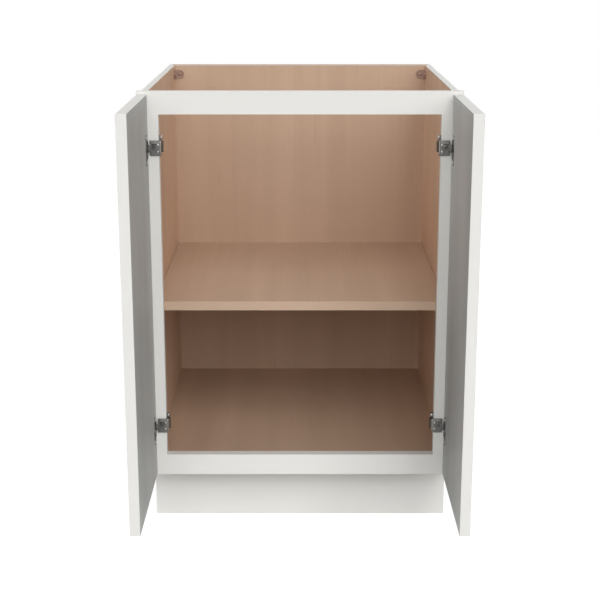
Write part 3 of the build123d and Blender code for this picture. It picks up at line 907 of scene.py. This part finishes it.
def adjuster_shape():
    outline = arc((side_leaf_middle, slide_foot), slide_radius, 180, 360, 16)
    outline += [(side_leaf_middle + slide_radius, slide_top),
                (side_leaf_middle - slide_radius, slide_top)]
    slide = flat_sheet([(wrap_face, y, z) for y, z in outline])
    top_corners = corners_at(slide, lambda c: near(c.z, slide_top))
    round_off(slide, top_corners, slide_corner, 4, "VERTICES")
    thicken(slide, (slide_wall, 0, 0))
    break_edges(slide, slide_edge)

    front, back = side_leaf_middle - housing_half_depth, side_leaf_middle + housing_half_depth
    bm = flat_sheet([(slide_face, y, z) for y, z in (
        (front, housing_bottom), (back, housing_bottom), (back, housing_top), (front, housing_top))])
    round_off(bm, bm.verts[:], housing_corner, 7, "VERTICES")
    thicken(bm, (adjuster_high.x - slide_face, 0, 0))
    face = chosen(bm.faces, lambda c: near(c.x, adjuster_high.x))
    round_off(bm, list(face[0].edges), housing_edge, 3)
    face = [one for one in bm.faces if one.normal.x > square_on]
    for width, rise in ((housing_rim, 0), (housing_slope, -housing_recess)):
        bmesh.ops.inset_individual(bm, faces=face, thickness=width, depth=rise,
                                   use_even_offset=True)
    for face in bm.faces:
        face.material_index = 1
    add_part(bm, slide, Matrix())
    return bm


pale_steel = metal_finish("pale_steel", (0.420, 0.385, 0.345, 1), 0.45, brushed)

# Near-black browns for the cam housing: partly its own colour, partly painted shade.
housing_dark_and_shade = (0.050, 0.036, 0.028, 1)
housing_rubbed_dark_and_shade = (0.075, 0.054, 0.042, 1)
housing_dark_and_shade_finish, tree, shader = new_surface("housing_dark_and_painted_shade")
grain = even_noise(tree, 1500.0, 2.0)
handled = even_noise(tree, 220.0, 3.0)
tone = mix_colour(tree, remap(tree, handled, 0.3, 0.7), housing_dark_and_shade, housing_rubbed_dark_and_shade)
gloss = remap(tree, handled, 0.3, 0.7, 0.48, 0.60)
cover(tree, shader, tone, gloss, grain, strength=0.20, distance=0.0001)

on_each_hinge(adjuster_shape(), "adjuster", [pale_steel, housing_dark_and_shade_finish], False)


# ---- hinge arms ----
# Pressed steel: a plate with a stamped panel riveted to the wrap plate, a narrower
# goose neck that reaches into the door's cup, and an eye curled around the pin.
pin_low, pin_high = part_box("upper_left_hinge_pin")
pivot = (pin_low + pin_high) / 2
plate_half = (arm_high.z - arm_low.z) / 2
plate_thickness = 1.2 * mm
arm_front = arm_high.y - plate_thickness
panel_border = 0.9 * mm
panel_slope = 0.35 * mm
panel_rise = 0.25 * mm
arm_wall = 0.95 * mm
neck_half = 6.75 * mm
neck_face = arm_low.x + 11.85 * mm
plate_end = arm_low.x + 10.55 * mm
plate_lower_corner = 2.5 * mm
plate_upper_corner = 1.2 * mm
relief = 0.7 * mm
bend_width = 1.6 * mm
bend_start = neck_face + bend_width
bend_at_plate = 1.0 * mm
bend_at_pin = 2.2 * mm
panel_top = 8.0 * mm
eye_radius = 1.95 * mm
eye_bore = 1.15 * mm
eye_half = 5.5 * mm
eye_easing = 0.15 * mm
neck_end = pivot.x + 0.8 * eye_radius
neck_dip = 2.0 * mm
neck_rise = 1.2 * mm


def arm_shape():
    base = arm_front + panel_rise
    bm = flat_sheet([(x, base, z) for x, z in (
        (plate_end, -plate_half), (wrap_face, -plate_half),
        (wrap_face, plate_half), (plate_end, plate_half))])
    for height in (-neck_half - relief, -neck_half, neck_half, neck_half + relief, panel_top):
        cut_along(bm, (0, 0, height), (0, 0, 1))
    cut_along(bm, (bend_start, 0, 0), (1, 0, 0))
    notches = chosen(bm.faces, lambda c: c.x < bend_start and neck_half < abs(c.z) < neck_half + relief)
    bmesh.ops.delete(bm, geom=notches, context="FACES")
    neck_edge = chosen(bm.edges, lambda c: near(c.x, plate_end) and abs(c.z) < neck_half)
    for vert in neck_edge[0].verts:
        vert.co.x = neck_face
    turn_edge = pulled_edges(bm, neck_edge, (0, pivot.y - neck_dip - base, 0))
    eye_edge = pulled_edges(bm, turn_edge, (neck_end - neck_face, neck_rise, 0))
    for vert in eye_edge[0].verts:
        vert.co.z *= eye_half / neck_half
    for height, radius, segments in ((-plate_half, plate_lower_corner, 4),
                                     (plate_half, plate_upper_corner, 3)):
        corner = corners_at(bm, lambda c: near(c.x, plate_end) and near(c.z, height))
        round_off(bm, corner, radius, segments, "VERTICES")
    for line, radius, segments in ((base, bend_at_plate, 4), (pivot.y - neck_dip, bend_at_pin, 6)):
        bend = chosen(bm.edges, lambda c: near(c.x, neck_face) and near(c.y, line))
        round_off(bm, bend, radius, segments)
    panel = chosen(bm.faces, lambda c: c.x > bend_start and c.z < panel_top)
    panel = bmesh.ops.dissolve_faces(bm, faces=panel)["region"]
    turn_over(bm, panel[0], (0, -1, 0))
    for width, rise in ((panel_border, 0), (panel_slope, panel_rise)):
        bmesh.ops.inset_region(bm, faces=panel, thickness=width, depth=rise, use_boundary=True,
                               use_even_offset=True)
    give_wall(bm, arm_wall)
    break_edges(bm, pressed_edge)
    bmesh.ops.dissolve_degenerate(bm, dist=sliver, edges=bm.edges)
    eye_flat = eye_radius - eye_easing
    eye = turned([(eye_bore, -eye_half), (eye_flat, -eye_half), (eye_radius, -eye_half + eye_easing),
                  (eye_radius, eye_half - eye_easing), (eye_flat, eye_half), (eye_bore, eye_half),
                  (eye_bore, -eye_half)], 28)
    add_part(bm, eye, Matrix.Translation((pivot.x, pivot.y, 0)))
    return bm


on_each_hinge(arm_shape(), "arm", [dark_steel], False)


# ---- hinge rivets, adjusting screws and ear screws ----
# Two domed rivets join each arm to its wrap plate. A slotted screw works each cam, one
# on the plate and one on the housing, and a cross-head screw goes through the ear.
rivet_head = 1.9 * mm
rivet_rise = 0.62 * mm
rivet_radius = 1.2 * mm
rivet_foot = -2.2 * mm
rivet_inset = 1.6 * mm
rivet_x = stile_edge - rivet_inset
rivet_z = 6.4 * mm
dome = [(rivet_head * cos(radians(angle)), rivet_rise * sin(radians(angle)))
        for angle in (0, 18, 36, 54, 72)]
rivet = turned([(0, rivet_foot), (rivet_radius, rivet_foot), (rivet_radius, 0)] + dome
               + [(0, rivet_rise)], 24)


slot_floor = 0.15 * mm
slotted_edge = 0.08 * mm


def slotted_screw(head_radius, head_height, shank_radius, length, slot):
    """A cheese-head screw that points down from its seat at the origin."""
    bm = bmesh.new()
    bmesh.ops.create_circle(bm, cap_ends=True, segments=36, radius=head_radius)
    thicken(bm, (0, 0, slot_floor))
    for side in (-1, 1):
        cut_along(bm, (side * slot / 2, 0, 0), (1, 0, 0))
    halves = chosen(bm.faces, lambda c: near(c.z, slot_floor) and abs(c.x) > slot / 2)
    for half in halves:
        drawn = bmesh.ops.extrude_face_region(bm, geom=[half])
        bmesh.ops.translate(bm, vec=(0, 0, head_height - slot_floor), verts=moved_verts(drawn))
    bmesh.ops.delete(bm, geom=halves, context="FACES_ONLY")
    break_edges(bm, slotted_edge, 1)
    bmesh.ops.dissolve_degenerate(bm, dist=sliver, edges=bm.edges)
    shank = turned([(0, -length), (shank_radius / 2, -length),
                    (shank_radius, -length + shank_radius),
                    (shank_radius, slot_floor / 2), (0, slot_floor / 2)], 24)
    add_part(bm, shank, Matrix())
    return bm


adjusting_screw = slotted_screw(head_radius=3.2 * mm, head_height=0.6 * mm,
                                shank_radius=1.6 * mm, length=12.0 * mm, slot=0.8 * mm)
ear_screw = cross_screw(head_radius=3.8 * mm, head_height=2.0 * mm,
                        shank_radius=1.75 * mm, length=12.0 * mm)
front_screw_inset = 3.2 * mm
side_screw_drop = 5.25 * mm

rivets, adjusting_screws, ear_screws = bmesh.new(), bmesh.new(), bmesh.new()
for height in hinge_heights.values():
    for across in both_sides.values():
        for end in (-1, 1):
            seat = (rivet_x, arm_front, height + end * rivet_z)
            add_part(rivets, rivet, across @ standing_on(seat, (0, -1, 0)))
        on_plate = (stile_edge - front_screw_inset, arm_front, height)
        housing_floor = adjuster_high.x - housing_recess
        on_housing = (housing_floor, side_leaf_middle, height - side_screw_drop)
        on_ear = ear_seat + Vector((0, 0, height))
        add_part(adjusting_screws, adjusting_screw, across @ standing_on(on_plate, (0, -1, 0)))
        add_part(adjusting_screws, adjusting_screw, across @ standing_on(on_housing, (1, 0, 0)))
        add_part(ear_screws, ear_screw, across @ standing_on(on_ear, out_of_ear))

satin_steel = metal_finish("satin_steel", (0.560, 0.555, 0.540, 1), 0.40, polished)
dull_steel = metal_finish("dull_steel", (0.580, 0.540, 0.510, 1), 0.28, polished)
set_in_place(rivets, "hinge_rivets", [satin_steel], "cabinet")
set_in_place(adjusting_screws, "hinge_adjusting_screws", [dark_steel], "cabinet")
set_in_place(ear_screws, "hinge_ear_screws", [dull_steel], "cabinet")


# ---- hinge cups ----
# Deep-drawn steel cups with a winged flange, let into the doors' inner faces. A window
# in the wall lets the arm's eye in below the flange.
cup_low, cup_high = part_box("upper_left_hinge_cup")
door_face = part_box("left_door")[1].x
flange_radius = 18.9 * mm
cup_middle = cup_low.y + flange_radius
flange_wall = cup_high.x - door_face
cup_wall = 0.9 * mm
mouth_radius = 16.5 * mm
lip = 0.8 * mm
wing_line = -9.5 * mm
wing_radius = 6.5 * mm
wing_middle = 22.5 * mm
cup_floor = cup_low.x - door_face + cup_wall
floor_round = 1.6 * mm
window_half = 6.3 * mm
window_reach = 2.75 * mm
window_bottom = pivot.x - door_face - window_reach
window_top = pivot.x - door_face + window_reach
front_of_cup = 0.7 * mouth_radius
cup_edge = 0.15 * mm


def flange_outline():
    """The round flange with its two wings, run round anticlockwise."""
    near_join = degrees(acos((wing_line + wing_radius) / flange_radius))
    far_join = degrees(acos((wing_line - wing_radius) / flange_radius))
    outline = arc((0, 0), flange_radius, -near_join, near_join, 30)
    outline += arc((wing_line, wing_middle), wing_radius, 0, 180, 16)
    outline += arc((0, 0), flange_radius, far_join, 360 - far_join, 10)
    outline += arc((wing_line, -wing_middle), wing_radius, 180, 360, 16)
    return outline


def ring_down(bm, edges, radius, height):
    """Draw a round opening on to its next ring; returns the new edges."""
    drawn = pulled_edges(bm, edges, (0, 0, 0))
    for vert in {vert for edge in drawn for vert in edge.verts}:
        flat = Vector((vert.co.x, vert.co.y)).normalized() * radius
        vert.co = (flat.x, flat.y, height)
    return drawn


def cup_shape():
    """The cup with its mouth upward and the door's face at height zero."""
    bm = bmesh.new()
    outline = [bm.verts.new((x, y, flange_wall)) for x, y in flange_outline()]
    rim = [bm.edges.new((vert, outline[index - 1])) for index, vert in enumerate(outline)]
    lip_radius = mouth_radius + lip
    bmesh.ops.create_circle(bm, cap_ends=False, segments=56, radius=lip_radius,
                            matrix=Matrix.Translation((0, 0, flange_wall)))
    mouth = [edge for edge in bm.edges if edge not in set(rim)]
    bmesh.ops.triangle_fill(bm, use_beauty=True, use_dissolve=False, edges=rim + mouth)
    for angle in (30, 60, 90):
        mouth = ring_down(bm, mouth, lip_radius - lip * sin(radians(angle)),
                          flange_wall - lip * (1 - cos(radians(angle))))
    for height in (window_top, window_bottom, cup_floor + floor_round):
        mouth = ring_down(bm, mouth, mouth_radius, height)
    for angle in (30, 60, 90):
        mouth = ring_down(bm, mouth, mouth_radius - floor_round * (1 - cos(radians(angle))),
                          cup_floor + floor_round * (1 - sin(radians(angle))))
    bmesh.ops.edgeloop_fill(bm, edges=mouth)
    for side in (-1, 1):
        wall = chosen(bm.faces, lambda c: c.x > front_of_cup and window_bottom < c.z < window_top)
        around = dict.fromkeys(part for face in wall for part in [*face.edges, *face.verts])
        bmesh.ops.bisect_plane(bm, geom=wall + list(around), dist=weld_distance,
                               plane_co=(0, side * window_half, 0), plane_no=(0, 1, 0))
    window = chosen(bm.faces, lambda c: c.x > front_of_cup and abs(c.y) < window_half
                    and window_bottom < c.z < window_top)
    bmesh.ops.delete(bm, geom=window, context="FACES")
    turn_over(bm, largest_face(bm), (0, 0, 1))
    give_wall(bm, cup_wall)
    for vert in bm.verts:
        if near(vert.co.z, flange_wall - cup_wall):
            vert.co.z = 0
    break_edges(bm, cup_edge)
    return bm


in_door = Matrix(((0, 0, 1, door_face), (1, 0, 0, cup_middle), (0, 1, 0, 0), (0, 0, 0, 1)))
cup = bmesh.new()
add_part(cup, cup_shape(), in_door)
on_each_hinge(cup, "cup", [dark_steel], True)


# ---- hinge pins and springs ----
# A steel pin through each arm's eye, held in the cup's walls, and a leaf spring on the
# cup's floor that presses the arm shut or open.
hinge_pin_radius = (pin_high.x - pin_low.x) / 2
pin_end = 0.7 * hinge_pin_radius
pin_half = (pin_high.z - pin_low.z) / 2
pin_easing = 0.3 * mm
pin = turned([(0, -pin_half), (pin_end, -pin_half), (hinge_pin_radius, -pin_half + pin_easing),
              (hinge_pin_radius, pin_half - pin_easing), (pin_end, pin_half), (0, pin_half)], 24)
hinge_pin = bmesh.new()
add_part(hinge_pin, pin, Matrix.Translation((pivot.x, pivot.y, 0)))
on_each_hinge(hinge_pin, "pin", [bright_steel], True)

spring_low, spring_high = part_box("upper_left_hinge_spring")
spring_half = (spring_high.z - spring_low.z) / 2
spring_wall = 0.6 * mm
spring_lean = 1.1 * mm
spring_flat_end = spring_high.y - spring_lean
spring_bend = 1.4 * mm
spring_corner = 2.5 * mm
curl_start = Vector((0.6 * mm, 0.7 * mm, 0))
curl_end = Vector((0.5 * mm, -0.8 * mm, 0))


def spring_shape():
    bottom = spring_low.x + spring_wall
    bm = flat_sheet([(bottom, y, z) for y, z in (
        (spring_low.y, -spring_half), (spring_flat_end, -spring_half),
        (spring_flat_end, spring_half), (spring_low.y, spring_half))])
    free_edge = chosen(bm.edges, lambda c: near(c.y, spring_flat_end))
    rise = spring_high.x - bottom
    risen = pulled_edges(bm, free_edge, (rise - curl_start.x, curl_start.y, 0))
    pulled_edges(bm, risen, curl_end)
    bend = chosen(bm.edges, lambda c: near(c.y, spring_flat_end) and near(c.x, bottom))
    round_off(bm, bend, spring_bend, 5)
    corners = corners_at(bm, lambda c: near(c.y, spring_low.y))
    round_off(bm, corners, spring_corner, 4, "VERTICES")
    turn_over(bm, largest_face(bm), (1, 0, 0))
    give_wall(bm, spring_wall)
    return bm


on_each_hinge(spring_shape(), "spring", [bright_steel], True)


# ---- flange screws ----
# Two short cross-head screws hold each cup's wings to the door. Their low heads clear
# the frame when the door is shut.
flange_screw = cross_screw(head_radius=3.3 * mm, head_height=1.0 * mm,
                           shank_radius=1.6 * mm, length=12.0 * mm)
for side, across in both_sides.items():
    bm = bmesh.new()
    for height in hinge_heights.values():
        for end in (-1, 1):
            seat = (door_face + flange_wall, cup_middle + wing_line, height + end * wing_middle)
            add_part(bm, flange_screw, across @ standing_on(seat, (1, 0, 0)))
    set_in_place(bm, f"{side}_hinge_flange_screws", [satin_steel], f"{side}_door")
